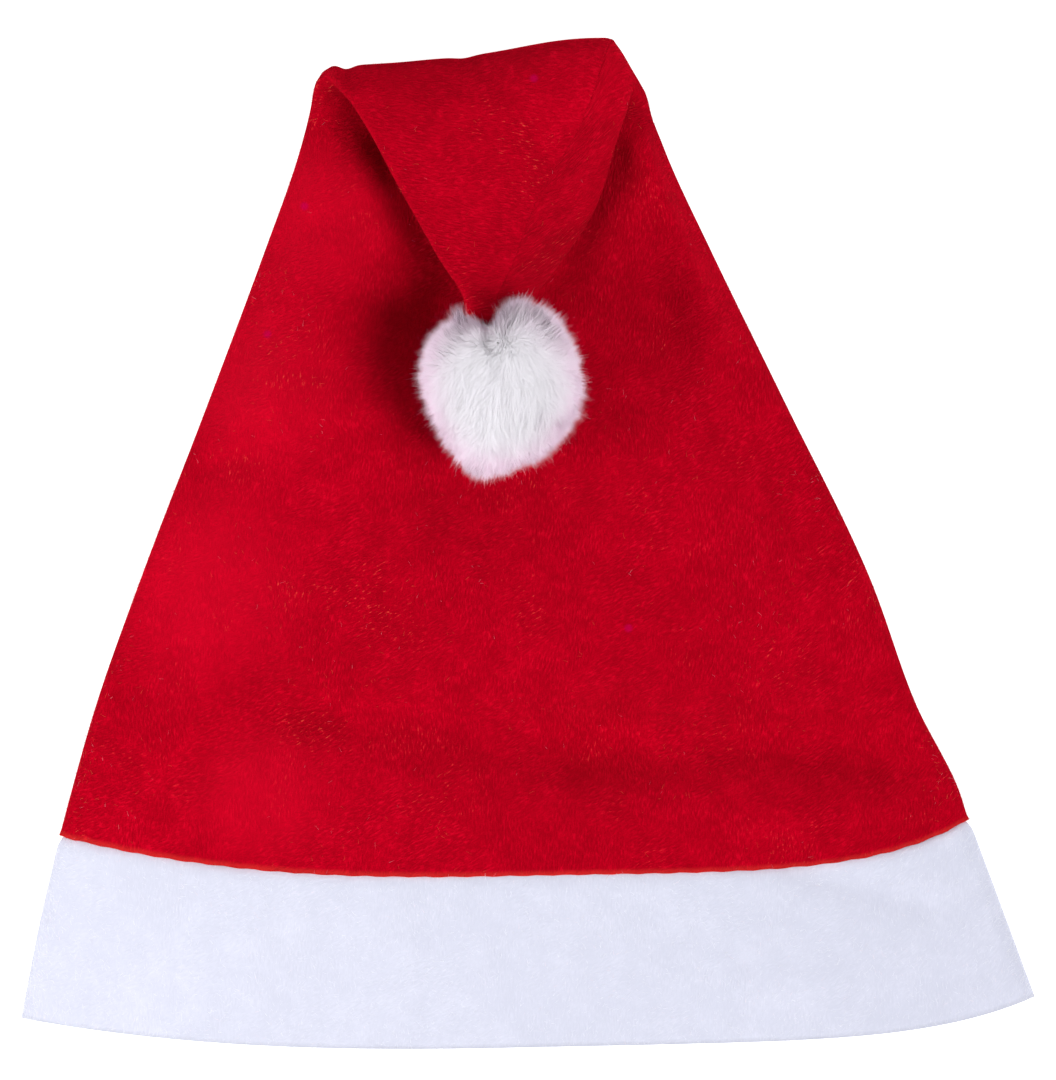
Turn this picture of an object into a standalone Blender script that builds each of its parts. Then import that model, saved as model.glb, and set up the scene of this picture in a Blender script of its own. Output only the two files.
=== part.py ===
"""A felt hat with a folded tip, a white band and a fur pompom, lying on its back panel.

Metres, +Z up. The hat lies on the plane z = 0 with its mouth towards -Y, its fold towards +Y
and its front panel facing up. The origin is the middle of its footprint.

Every line across the hat is one closed loop. The two side seams part each loop into the front
panel and the back panel, and the felt's thickness goes inwards from it.
"""

import math
import random
from dataclasses import dataclass

import bmesh
import bpy
import numpy as np
from mathutils import Vector

# Driving dimensions

FELT = 0.0013
SEAM_GAP = 0.0003
SEAM_STUB = 0.0006
EDGE_REACH = 0.0042
EDGE_RISE = 0.0034
EDGE_UPRIGHT = 0.0008
SAG_POWER_LEFT = 2.6
SAG_POWER_RIGHT = 5.4
DOME_POWER = 2.6
PANEL_COLUMNS = 18
TURN_WEIGHT = 0.9
END_STEPS = 10
MIDDLE_STEPS = 60
WIDEST_END_SHARE = 0.45
MOUTH_WIDTH = 0.290
HALF_MOUTH = MOUTH_WIDTH / 2

POMPOM_CENTRE = Vector((-0.0075, 0.0438, 0.0364))
POMPOM_RADII = Vector((0.0205, 0.0215, 0.0185))
POMPOM_FLATTENED = 0.85
POMPOM_SUBDIVISIONS = 3
LOCK_LENGTH = 0.0042
LOCK_SHORTEST = 0.7
LOCK_LONGEST = 1.15
LOCK_TIP_SHARE = 0.42
LOCK_SWIRL = 0.2
LOCK_SWIRL_AXIS = Vector((0.3, 0.2, 1.0))
POCKET_CLEARANCE = 0.0006
POCKET_DEPTH = 0.0015
POCKET_SECTIONS = 3
POCKET_POINT_STEP = 6
RANDOM_SEED = 24


@dataclass
class Section:
    """One loop across the hat, from its left end to its right end.

    turn is how far the cloth has folded forward, in degrees. sag is how far the middle of the
    loop dips towards the mouth. front and back are how far each side stands off the line
    between the ends, and crest is where the back side stands highest, as a share of the width.
    slide is how far the right seam has moved from the right end onto the back side. rows is
    how many rows of faces follow before the next section.
    """

    left: tuple
    right: tuple
    turn: float = 0.0
    sag: float = 0.0
    front: float = EDGE_RISE
    back: float = EDGE_RISE
    crest: float = 0.5
    slide: float = 0.0
    rows: int = 2


BAND = (
    Section((-HALF_MOUTH, -0.1364, EDGE_RISE), (HALF_MOUTH, -0.1303, EDGE_RISE), sag=0.0110, front=0.0145),
    Section((-0.1400, -0.1105, EDGE_RISE), (0.1355, -0.1045, EDGE_RISE), sag=0.0123, front=0.0155),
    Section((-0.1342, -0.0842, EDGE_RISE), (0.1262, -0.0795, EDGE_RISE), sag=0.0135, front=0.0150, rows=0),
)

CROWN = (
    Section((-0.1338, -0.0838, EDGE_RISE), (0.1258, -0.0791, EDGE_RISE), sag=0.0135, front=0.0150, rows=1),
    Section((-0.1312, -0.0735, EDGE_RISE), (0.1232, -0.0709, EDGE_RISE), sag=0.0125, front=0.0150),
    Section((-0.1235, -0.0465, EDGE_RISE), (0.1110, -0.0465, EDGE_RISE), sag=0.0100, front=0.0150, rows=3),
    Section((-0.1108, -0.0106, EDGE_RISE), (0.0979, -0.0106, EDGE_RISE), sag=0.0070, front=0.0165, rows=3),
    Section((-0.0910, 0.0411, EDGE_RISE), (0.0729, 0.0411, EDGE_RISE), sag=0.0040, front=0.0155, rows=3),
    Section((-0.0750, 0.0840, EDGE_RISE), (0.0520, 0.0840, EDGE_RISE), sag=0.0010, front=0.0110),
    Section((-0.0655, 0.1110, EDGE_RISE), (0.0395, 0.1110, EDGE_RISE), front=0.0078),
    Section((-0.0622, 0.1235, 0.0040), (0.0360, 0.1215, 0.0038), turn=15, front=0.0045, slide=0.003, rows=3),
    Section(
        (-0.0606, 0.1313, 0.0078), (0.0345, 0.1283, 0.0065), turn=50,
        front=0.0036, back=0.0072, crest=0.86, slide=0.01, rows=3,
    ),
    Section(
        (-0.0575, 0.1340, 0.0130), (0.0320, 0.1312, 0.0105), turn=90,
        back=0.0132, crest=0.90, slide=0.0145, rows=3,
    ),
    Section(
        (-0.0535, 0.1300, 0.0215), (0.0285, 0.1235, 0.0155), turn=155,
        back=0.0115, crest=0.85, slide=0.0165,
    ),
    Section(
        (-0.0475, 0.1215, 0.0240), (0.0250, 0.1150, 0.0172), turn=180,
        back=0.0110, crest=0.76, slide=0.0185, rows=3,
    ),
    Section(
        (-0.0363, 0.1010, 0.0248), (0.0195, 0.0960, 0.0180), turn=180,
        back=0.0105, crest=0.68, slide=0.0200, rows=3,
    ),
    Section(
        (-0.0248, 0.0805, 0.0275), (0.0085, 0.0785, 0.0225), turn=175,
        back=0.0070, crest=0.60, slide=0.0110, rows=3,
    ),
    Section(
        (-0.0180, 0.0690, 0.0305), (-0.0005, 0.0675, 0.0285), turn=165,
        back=0.0045, slide=0.0070,
    ),
    Section((-0.0170, 0.0610, 0.0340), (-0.0040, 0.0610, 0.0336), turn=160, slide=0.0055, rows=0),
)


@dataclass
class Dent:
    """A soft ridge in the front panel along a line, or a trough where the height is below 0."""

    start: tuple
    end: tuple
    half_width: float
    height: float


DENTS = {
    "left_roll_upper": Dent((-0.060, 0.104), (-0.078, 0.045), 0.011, 0.0030),
    "left_roll_lower": Dent((-0.078, 0.045), (-0.092, -0.040), 0.014, 0.0035),
    "trough_left": Dent((-0.104, -0.073), (-0.072, -0.047), 0.010, -0.0042),
    "trough_middle": Dent((-0.072, -0.047), (0.030, -0.062), 0.012, -0.0035),
    "trough_right": Dent((0.030, -0.062), (0.104, -0.066), 0.010, -0.0042),
    "right_hollow": Dent((0.034, 0.062), (0.074, 0.006), 0.016, -0.0020),
    "roll_crease_upper": Dent((-0.073, 0.086), (-0.050, 0.094), 0.005, -0.0015),
    "roll_crease_lower": Dent((-0.094, 0.022), (-0.060, 0.034), 0.006, -0.0020),
    "under_pompom": Dent((-0.010, 0.050), (-0.005, 0.036), 0.024, -0.0045),
}
DENT_FREE_EDGE = 0.06
DENT_FREE_TURN = 20.0


@dataclass
class Lobe:
    """A swelling or a notch of the pompom, in degrees round from +X, seen from above."""

    bearing: float
    half_width: float
    height: float


LOBES = {
    "upper_left": Lobe(130, 15, 0.20),
    "upper_right": Lobe(66, 20, 0.17),
    "notch": Lobe(101, 13, -0.28),
    "lower_tip": Lobe(-103, 26, 0.13),
}


def smoothstep(low, high, value):
    """0 below low, 1 above high, and smooth in between."""
    share = min(max((value - low) / (high - low), 0.0), 1.0)
    return share * share * (3 - 2 * share)


def numbers_of(section):
    """The fields that are interpolated between two sections."""
    return np.array(
        [*section.left, *section.right, section.turn, section.sag, section.front, section.back,
         section.crest, section.slide]
    )


def section_of(numbers):
    """The section that those numbers describe."""
    return Section(Vector(numbers[0:3]), Vector(numbers[3:6]), *numbers[6:])


def steady_tangent(before, after, span_before, span_after):
    """A slope at a section that makes no value overshoot between two sections."""
    same_way = before * after > 0
    safe_before = np.where(same_way, before, 1.0)
    safe_after = np.where(same_way, after, 1.0)
    one = 2 * span_after + span_before
    two = span_after + 2 * span_before
    return np.where(same_way, (one + two) / (one / safe_before + two / safe_after), 0.0)


def stations(sections):
    """The sections with the rows between them filled in along a smooth curve."""
    values = [numbers_of(s) for s in sections]
    middles = [(v[0:3] + v[3:6]) / 2 for v in values]
    spans = [np.linalg.norm(b - a) for a, b in zip(middles, middles[1:])]
    slopes = [(b - a) / span for a, b, span in zip(values, values[1:], spans)]
    tangents = [slopes[0]]
    for before, after, one, two in zip(slopes, slopes[1:], spans, spans[1:]):
        tangents.append(steady_tangent(before, after, one, two))
    tangents.append(slopes[-1])
    found = []
    for i, span in enumerate(spans):
        for row in range(sections[i].rows):
            t = row / sections[i].rows
            smooth = (
                values[i] * (2 * t**3 - 3 * t**2 + 1)
                + values[i + 1] * (3 * t**2 - 2 * t**3)
                + tangents[i] * span * (t**3 - 2 * t**2 + t)
                + tangents[i + 1] * span * (t**3 - t**2)
            )
            found.append(section_of(smooth))
    found.append(section_of(values[-1]))
    return found


def dent_height(x, y):
    """How far the ridges and troughs lift the front panel at a place."""
    total = 0.0
    for dent in DENTS.values():
        start, end, here = Vector(dent.start), Vector(dent.end), Vector((x, y))
        along = min(max((here - start).dot(end - start) / (end - start).length_squared, 0.0), 1.0)
        away = (here - start.lerp(end, along)).length / dent.half_width
        total += dent.height * math.exp(-away * away)
    return total


def dome(across):
    """0 at both ends of a loop and 1 at its middle."""
    return 1 - abs(2 * across - 1) ** DOME_POWER


def crest_bump(across, crest):
    """0 at both ends of a loop and 1 at its crest, with a round shoulder beyond it."""
    if across < crest:
        return smoothstep(0.0, crest, across)
    return math.sin(math.pi / 2 * (1 - across) / (1 - crest))


def edge_rise(from_end):
    """How the felt turns round each end of a loop: a short upright, then a quarter ellipse."""
    level = 1 - min(from_end / EDGE_REACH, 1.0)
    return EDGE_UPRIGHT + (EDGE_RISE - EDGE_UPRIGHT) * math.sqrt(max(0.0, 1 - level * level))


def sag_share(across):
    """1 at the middle of a section and 0 at its ends, steeper on the right."""
    side = 2 * across - 1
    power = SAG_POWER_LEFT if side < 0 else SAG_POWER_RIGHT
    return 1 - min(abs(side), 1.0) ** power


def fine_shares(width):
    """Shares of the width from end to end, closest together where the felt turns."""
    turn_in = min(EDGE_REACH / width, WIDEST_END_SHARE)
    ends = [turn_in * (1 - math.cos(math.pi / 2 * i / END_STEPS)) for i in range(END_STEPS)]
    middle = [turn_in + (1 - 2 * turn_in) * i / MIDDLE_STEPS for i in range(MIDDLE_STEPS + 1)]
    return [*ends, *middle, *[1 - share for share in reversed(ends)]]


def loop_point(section, across, side):
    """A point of a loop; side is 1 on its front and -1 on its back."""
    width = (section.right - section.left).length
    rise = edge_rise(min(across, 1 - across) * width)
    if side > 0:
        rise += (section.front - EDGE_RISE) * dome(across)
    else:
        rise += (section.back - EDGE_RISE) * crest_bump(across, section.crest)
    turn = math.radians(section.turn)
    off_line = Vector((0.0, -math.sin(turn), math.cos(turn)))
    point = section.left.lerp(section.right, across) + off_line * rise * side
    point.y -= section.sag * sag_share(across)
    if side > 0:
        upright = 1 - smoothstep(0.0, DENT_FREE_TURN, section.turn)
        clear = smoothstep(0.0, DENT_FREE_EDGE, across) * smoothstep(0.0, DENT_FREE_EDGE, 1 - across)
        point.z += upright * clear * dent_height(point.x, point.y)
    return point


def resampled(line):
    """A line's points spaced out again, closest together where it turns."""
    steps = [(b - a).length for a, b in zip(line, line[1:])]
    ways = [(b - a).normalized() for a, b in zip(line, line[1:])]
    turns = [0.0, *[math.acos(min(max(a.dot(b), -1.0), 1.0)) for a, b in zip(ways, ways[1:])]]
    total = sum(steps)
    marks = [0.0]
    for step, turn in zip(steps, turns):
        marks.append(marks[-1] + step / total + TURN_WEIGHT * turn / math.pi)
    wanted = np.linspace(0.0, marks[-1], PANEL_COLUMNS + 1)
    axes = [np.interp(wanted, marks, [point[axis] for point in line]) for axis in range(3)]
    return [Vector(place) for place in zip(*axes)]


class Loop:
    """A section's closed line: from the left seam over its front, and back over its back."""

    def __init__(self, section):
        shares = fine_shares((section.right - section.left).length)
        front = [loop_point(section, share, 1) for share in shares]
        back = [loop_point(section, share, -1) for share in reversed(shares)]
        self.points = [*front, *back, front[0]]
        steps = [(b - a).length for a, b in zip(self.points, self.points[1:])]
        self.marks = np.concatenate([[0.0], np.cumsum(steps)])
        self.left_seam = self.marks[-1] - EDGE_UPRIGHT
        self.right_seam = self.marks[len(front) - 1] + EDGE_UPRIGHT + section.slide

    def at(self, mark):
        """The place at a distance along the loop."""
        here = mark % self.marks[-1]
        return Vector([np.interp(here, self.marks, [p[axis] for p in self.points]) for axis in range(3)])

    def seam(self, mark):
        """A seam's place and the direction of the short straight of felt that crosses it."""
        reach = SEAM_GAP / 2 + SEAM_STUB
        before, after = self.at(mark - reach), self.at(mark + reach)
        return before.lerp(after, 0.5), (after - before).normalized()

    def between(self, start, end):
        """One panel's row of points. It leaves its seams straight, so the two rims face each other."""
        (seam_in, way_in), (seam_out, way_out) = self.seam(start), self.seam(end)
        reach = SEAM_GAP / 2 + SEAM_STUB
        inner = [p for p, mark in zip(self.points, self.marks) if start + reach < mark < end - reach]
        wrapped = [p for p, mark in zip(self.points, self.marks) if start + reach < mark - self.marks[-1] < 0]
        row = resampled([self.at(start + reach), *wrapped, *inner, self.at(end - reach)])
        return [seam_in + way_in * SEAM_GAP / 2, *row, seam_out - way_out * SEAM_GAP / 2]


def panel_line(section, side):
    """One panel's row of points from its left seam to its right seam."""
    loop = Loop(section)
    if side > 0:
        return loop.between(loop.left_seam - loop.marks[-1], loop.right_seam)
    return list(reversed(loop.between(loop.right_seam, loop.left_seam)))


def material(name, colour, roughness):
    """A plain finish for one kind of cloth."""
    made = bpy.data.materials.new(name)
    made.use_nodes = True
    shader = made.node_tree.nodes["Principled BSDF"]
    shader.inputs["Base Color"].default_value = (*colour, 1.0)
    shader.inputs["Roughness"].default_value = roughness
    shader.inputs["Metallic"].default_value = 0.0
    return made


def panel(name, sections, side, finish, collection):
    """A felt panel: an open grid bent to its rows of points, then given its thickness."""
    rows = [panel_line(section, side) for section in stations(sections)]
    wide, long = len(rows[0]), len(rows)
    sheet = bmesh.new()
    bmesh.ops.create_grid(sheet, x_segments=wide - 1, y_segments=long - 1, size=1.0)
    places = sorted(sheet.verts, key=lambda v: (round(v.co.y, 4), round(v.co.x, 4)))
    for i, vert in enumerate(places):
        vert.co = rows[i // wide][i % wide]
    if side < 0:
        bmesh.ops.reverse_faces(sheet, faces=sheet.faces)
    made = bpy.data.objects.new(name, bpy.data.meshes.new(name))
    sheet.to_mesh(made.data)
    sheet.free()
    collection.objects.link(made)
    made.data.materials.append(finish)
    wall = made.modifiers.new("felt_thickness", "SOLIDIFY")
    wall.thickness = FELT
    wall.offset = -1.0
    wall.use_even_offset = True
    made.data.shade_smooth()
    return made


def pompom_reach(direction):
    """How far the pompom's backing stands from its centre in a direction, as a share of its radii."""
    bearing = math.degrees(math.atan2(direction.y, direction.x))
    level = math.hypot(direction.x, direction.y)
    reach = 1.0
    for lobe in LOBES.values():
        away = (bearing - lobe.bearing + 180) % 360 - 180
        reach += lobe.height * math.exp(-((away / lobe.half_width) ** 2)) * level**2
    return reach


def tip_pocket(collection):
    """The cutter that leaves room in the pompom for the tip of the crown: a hull round the tip's loops."""
    block = bmesh.new()
    for section in CROWN[-POCKET_SECTIONS:]:
        loop = Loop(section_of(numbers_of(section)))
        middle = sum(loop.points, Vector()) / len(loop.points)
        for point in loop.points[::POCKET_POINT_STEP]:
            block.verts.new(point + (point - middle).normalized() * POCKET_CLEARANCE)
    deepest = min(vert.co.y for vert in block.verts)
    for vert in block.verts:
        if vert.co.y < deepest + POCKET_DEPTH:
            vert.co.y = deepest - POCKET_DEPTH
    shell = bmesh.ops.convex_hull(block, input=block.verts)
    spare = [item for item in shell["geom_interior"] if isinstance(item, bmesh.types.BMVert)]
    bmesh.ops.delete(block, geom=spare, context="VERTS")
    bmesh.ops.recalc_face_normals(block, faces=block.faces)
    made = bpy.data.objects.new("tip_pocket", bpy.data.meshes.new("tip_pocket"))
    block.to_mesh(made.data)
    block.free()
    made.hide_render = True
    made.display_type = "WIRE"
    collection.objects.link(made)
    return made


def pompom(finish, collection, cutters):
    """A ball of fur: a backing whose every face is drawn out into a tapered lock."""
    chance = random.Random(RANDOM_SEED)
    ball = bmesh.new()
    bmesh.ops.create_icosphere(ball, subdivisions=POMPOM_SUBDIVISIONS, radius=1.0)
    for vert in ball.verts:
        direction = vert.co.normalized()
        reach = pompom_reach(direction)
        vert.co = Vector(r * d * reach for r, d in zip(POMPOM_RADII, direction))
        if vert.co.z < 0:
            vert.co.z *= POMPOM_FLATTENED
    locks = bmesh.ops.extrude_discrete_faces(ball, faces=ball.faces)["faces"]
    for lock in locks:
        middle = lock.calc_center_median()
        outward = middle.normalized()
        aside = outward.cross(LOCK_SWIRL_AXIS).normalized()
        swirl = LOCK_SWIRL * min(edge.calc_length() for edge in lock.edges)
        length = LOCK_LENGTH * chance.uniform(LOCK_SHORTEST, LOCK_LONGEST)
        shift = outward * length + aside * chance.uniform(-swirl, swirl)
        for vert in lock.verts:
            vert.co = middle.lerp(vert.co, LOCK_TIP_SHARE) + shift
    made = bpy.data.objects.new("pompom", bpy.data.meshes.new("pompom"))
    ball.to_mesh(made.data)
    ball.free()
    made.location = POMPOM_CENTRE
    collection.objects.link(made)
    made.data.materials.append(finish)
    pocket = made.modifiers.new("tip_pocket", "BOOLEAN")
    pocket.operation = "DIFFERENCE"
    pocket.object = tip_pocket(cutters)
    return made


def main():
    """Clears the scene and builds the hat."""
    for old in list(bpy.data.objects):
        bpy.data.objects.remove(old)
    hat = bpy.data.collections.new("santa_hat")
    cutters = bpy.data.collections.new("cutters")
    bpy.context.scene.collection.children.link(hat)
    bpy.context.scene.collection.children.link(cutters)
    red = material("red_felt", (0.56, 0.0, 0.012), 0.95)
    white = material("white_felt", (0.86, 0.87, 0.93), 0.95)
    fur = material("white_fur", (0.88, 0.86, 0.91), 0.9)
    panel("crown_front", CROWN, 1, red, hat)
    panel("crown_back", CROWN, -1, red, hat)
    panel("band_front", BAND, 1, white, hat)
    panel("band_back", BAND, -1, white, hat)
    pompom(fur, hat, cutters)


main()
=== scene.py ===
"""The looks of a felt hat with a folded tip, a white band and a fur pompom.

Metres, +Z up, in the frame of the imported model. The hat lies on z = 0 with its mouth towards
-Y and its front panel facing up, and the camera looks straight down on it.
"""

import logging
import math
from dataclasses import dataclass, replace
from enum import Enum

import bmesh
import bpy
import numpy as np
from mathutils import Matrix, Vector, noise


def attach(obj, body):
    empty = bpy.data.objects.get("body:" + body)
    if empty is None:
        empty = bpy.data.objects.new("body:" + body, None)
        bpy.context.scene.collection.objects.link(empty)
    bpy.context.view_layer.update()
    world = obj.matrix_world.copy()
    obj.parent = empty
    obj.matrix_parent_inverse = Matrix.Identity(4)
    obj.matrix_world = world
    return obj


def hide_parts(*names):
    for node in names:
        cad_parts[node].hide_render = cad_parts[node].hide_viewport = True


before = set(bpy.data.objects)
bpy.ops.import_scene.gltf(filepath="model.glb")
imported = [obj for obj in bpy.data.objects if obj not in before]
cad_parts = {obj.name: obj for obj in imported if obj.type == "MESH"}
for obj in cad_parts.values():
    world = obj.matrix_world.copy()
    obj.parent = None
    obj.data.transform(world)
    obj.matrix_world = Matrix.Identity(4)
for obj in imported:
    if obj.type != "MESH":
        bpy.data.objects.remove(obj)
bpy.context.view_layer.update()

log = logging.getLogger("felt_hat")

Colour = tuple[float, float, float]
Place = tuple[float, float, float]
Spot = tuple[float, float]

CLOTH_UV = "cloth"
EDGE_MARK = "seam_edge"
TINT_MARK = "fibre_tint"


class Side(Enum):
    """Which of the two panels of a loop round the hat is meant."""

    FRONT = 1
    BACK = -1


class Slot(Enum):
    """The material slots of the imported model."""

    RED_FELT = "red_felt"
    WHITE_FELT = "white_felt"
    WHITE_FUR = "white_fur"


class Held(Enum):
    """What keeps a sheet of felt in its shape."""

    FOLDED = "folded"
    LAID = "laid"


# Shapes of the cloth

FELT_THICKNESS = 0.0013
SEAM_GAP = 0.00005
SEAM_STUB = 0.0006
EDGE_REACH = 0.0042
EDGE_RISE = 0.0034
EDGE_UPRIGHT = 0.0008
SLIDE = 11


@dataclass(frozen=True)
class Section:
    """One loop across the hat, from its left end to its right end.

    turn is how far the cloth has folded forward, in degrees. sag is how far the middle dips
    towards the mouth. front and back are how far each side stands off the line between the
    ends, crest is where the back side stands highest, and slide is how far the right seam has
    moved onto the back side. rim is how far the felt stands off that line as it turns round
    the ends.
    """

    left: Place
    right: Place
    turn: float = 0.0
    sag: float = 0.0
    front: float = EDGE_RISE
    back: float = EDGE_RISE
    crest: float = 0.5
    slide: float = 0.0
    rim: float = EDGE_RISE

    def numbers(self) -> np.ndarray:
        """Returns the fields as one row of numbers, with the slide at the place SLIDE."""
        heights = (self.front, self.back, self.crest, self.slide, self.rim)
        return np.array([*self.left, *self.right, self.turn, self.sag, *heights])


@dataclass(frozen=True)
class Fold:
    """A soft ridge pressed into the cloth along a line seen from above, or a trough below 0."""

    start: Spot
    end: Spot
    half_width: float
    height: float

    def lift(self, x: np.ndarray, y: np.ndarray) -> np.ndarray:
        """Gives how far the fold lifts the cloth.

        Args:
            x: The places' X coordinates.
            y: The places' Y coordinates.

        Returns:
            The lift at each place.
        """
        way = np.subtract(self.end, self.start)
        reach = max(float(way @ way), 1e-12)
        share = np.clip(((x - self.start[0]) * way[0] + (y - self.start[1]) * way[1]) / reach, 0.0, 1.0)
        away = np.hypot(x - self.start[0] - share * way[0], y - self.start[1] - share * way[1])
        return self.height * np.exp(-((away / self.half_width) ** 2))


@dataclass(frozen=True)
class Nick:
    """A dip of the fold's top line at one place across."""

    x: float
    half_width: float
    depth: float


@dataclass
class Surface:
    """A panel's outer face: places, directions off it and cloth coordinates, row by row."""

    places: np.ndarray
    cloth: np.ndarray

    def normals(self) -> np.ndarray:
        """Returns the unit direction off the face at each place, upward for rows left to right."""
        along = np.gradient(self.places, axis=0)
        across = np.gradient(self.places, axis=1)
        off = np.cross(across, along)
        return off / np.maximum(np.linalg.norm(off, axis=2, keepdims=True), 1e-12)

    def sample(self, row: np.ndarray, column: np.ndarray, values: np.ndarray) -> np.ndarray:
        """Blends values of the grid at places between its rows and columns.

        Args:
            row: The places' rows, with fractions.
            column: The places' columns, with fractions.
            values: One value or vector for each row and column.

        Returns:
            The blended values.
        """
        low_row = np.clip(row.astype(int), 0, values.shape[0] - 2)
        low_column = np.clip(column.astype(int), 0, values.shape[1] - 2)
        r = (row - low_row)[:, None]
        c = (column - low_column)[:, None]
        near = values[low_row, low_column] * (1 - c) + values[low_row, low_column + 1] * c
        far = values[low_row + 1, low_column] * (1 - c) + values[low_row + 1, low_column + 1] * c
        return near * (1 - r) + far * r


def smoothstep(low: float, high: float, value: np.ndarray) -> np.ndarray:
    """Returns 0 below low, 1 above high, and a smooth step in between."""
    share = np.clip((value - low) / (high - low), 0.0, 1.0)
    return share * share * (3 - 2 * share)


def unit(ways: np.ndarray) -> np.ndarray:
    """Returns the directions with a length of 1."""
    return ways / np.maximum(np.linalg.norm(ways, axis=-1, keepdims=True), 1e-12)


def heading(bearing: float, height: float) -> Place:
    """Gives a unit direction.

    Args:
        bearing: Degrees round from +X, seen from above.
        height: Degrees above the level.

    Returns:
        The direction.
    """
    round_from, above = math.radians(bearing), math.radians(height)
    level = math.cos(above)
    return (math.cos(round_from) * level, math.sin(round_from) * level, math.sin(above))


def wander(cloth: np.ndarray, spacing: float, seed: float) -> np.ndarray:
    """Gives a smooth unevenness over the cloth.

    Args:
        cloth: Cloth coordinates in metres, row by row.
        spacing: How far apart its swells are.
        seed: Picks another pattern.

    Returns:
        Values from about -1 to 1.
    """
    flat = cloth.reshape(-1, 2) / spacing
    found = [noise.noise(Vector((0.83 * u + 0.56 * v, 0.83 * v - 0.56 * u, seed + 0.37))) for u, v in flat]
    return np.array(found).reshape(cloth.shape[:2])


@dataclass
class Loops:
    """Turns sections into rows of places on the front or the back panel.

    dome_power says how boxy the front's rise is, and the sag powers how boxy the dip towards
    the mouth is at either half. turn_weight draws columns to where the cloth turns. Folds fade
    out near the seams and where the cloth turns over, and they stop at least_height, so that
    the front panel never meets the back one. press_power says how sharply they stop.
    """

    sections: tuple[Section, ...]
    row_step: float
    columns: int
    dome_power: float = 2.6
    sag_power_left: float = 2.6
    sag_power_right: float = 5.4
    turn_weight: float = 0.35
    end_steps: int = 14
    middle_steps: int = 150
    widest_turn_in: float = 0.45
    fold_free_edge: float = 0.06
    fold_free_turn: float = 20.0
    least_height: float = 0.0028
    least_room: float = 0.00001
    press_power: float = 8.0
    folds: tuple[Fold, ...] = ()

    def stations(self) -> list[np.ndarray]:
        """Returns the sections' numbers with the rows between them filled in smoothly."""
        values = [section.numbers() for section in self.sections]
        middles = [(v[0:3] + v[3:6]) / 2 for v in values]
        spans = [float(np.linalg.norm(b - a)) for a, b in zip(middles, middles[1:])]
        slopes = [(b - a) / span for a, b, span in zip(values, values[1:], spans)]
        tangents = [slopes[0]]
        for before, after, one, two in zip(slopes, slopes[1:], spans, spans[1:]):
            tangents.append(self.steady_tangent(before, after, one, two))
        tangents.append(slopes[-1])
        found = []
        for i, span in enumerate(spans):
            rows = max(2, round(span / self.row_step))
            for t in np.arange(rows) / rows:
                found.append(
                    values[i] * (2 * t**3 - 3 * t**2 + 1)
                    + values[i + 1] * (3 * t**2 - 2 * t**3)
                    + tangents[i] * span * (t**3 - 2 * t**2 + t)
                    + tangents[i + 1] * span * (t**3 - t**2)
                )
        found.append(values[-1])
        return found

    @staticmethod
    def steady_tangent(before: np.ndarray, after: np.ndarray, one: float, two: float) -> np.ndarray:
        """Gives a slope at a section that makes no value overshoot.

        Args:
            before: The slopes up to the section.
            after: The slopes from the section on.
            one: The span before it.
            two: The span after it.

        Returns:
            The slopes at the section.
        """
        same_way = before * after > 0
        safe_before = np.where(same_way, before, 1.0)
        safe_after = np.where(same_way, after, 1.0)
        near, far = 2 * two + one, two + 2 * one
        return np.where(same_way, (near + far) / (near / safe_before + far / safe_after), 0.0)

    def side_line(self, numbers: np.ndarray, shares: np.ndarray, side: Side,
                  folded: bool = True) -> np.ndarray:
        """Gives one side of a loop.

        Args:
            numbers: The section's numbers.
            shares: Where along the section the places are, from 0 at the left end to 1.
            side: The front or the back.
            folded: Whether the folds are pressed in.

        Returns:
            One place for each share.
        """
        left, right = numbers[0:3], numbers[3:6]
        turn_degrees, sag, front, back, crest, _, rim = numbers[6:]
        width = float(np.linalg.norm(right - left))
        reach = EDGE_REACH * rim / EDGE_RISE
        level = 1 - np.minimum(np.minimum(shares, 1 - shares) * width / reach, 1.0)
        rise = EDGE_UPRIGHT + (rim - EDGE_UPRIGHT) * np.sqrt(np.maximum(0.0, 1 - level * level))
        if side is Side.FRONT:
            rise = rise + (front - rim) * (1 - np.abs(2 * shares - 1) ** self.dome_power)
        else:
            climb = smoothstep(0.0, crest, shares)
            fall = np.sin(math.pi / 2 * (1 - shares) / (1 - crest))
            rise = rise + (back - rim) * np.where(shares < crest, climb, fall)
        turn = math.radians(turn_degrees)
        off_line = np.array([0.0, -math.sin(turn), math.cos(turn)])
        places = left + (right - left) * shares[:, None] + off_line * rise[:, None] * side.value
        to_side = np.minimum(np.abs(2 * shares - 1), 1.0)
        power = np.where(shares < 0.5, self.sag_power_left, self.sag_power_right)
        places[:, 1] -= sag * (1 - to_side**power)
        if side is Side.FRONT and folded:
            upright = 1 - smoothstep(0.0, self.fold_free_turn, np.array(turn_degrees))
            places[:, 2] += upright * self.pressed(places, shares)
        return places

    def pressed(self, places: np.ndarray, shares: np.ndarray) -> np.ndarray:
        """Gives how far the folds lift or press down a line of the front panel.

        Args:
            places: The line's places without folds.
            shares: Where along the section the places are, from 0 at the left end to 1.

        Returns:
            The lift at each place.
        """
        clear_left = smoothstep(0.0, self.fold_free_edge, shares)
        clear_right = smoothstep(0.0, self.fold_free_edge, 1 - shares)
        lift = np.zeros(len(shares))
        for fold in self.folds:
            lift = lift + fold.lift(places[:, 0], places[:, 1])
        room = np.maximum(places[:, 2] - self.least_height, self.least_room)
        held_back = (1 + np.maximum(-lift / room, 0.0) ** self.press_power) ** (1 / self.press_power)
        return clear_left * clear_right * lift / held_back

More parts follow.
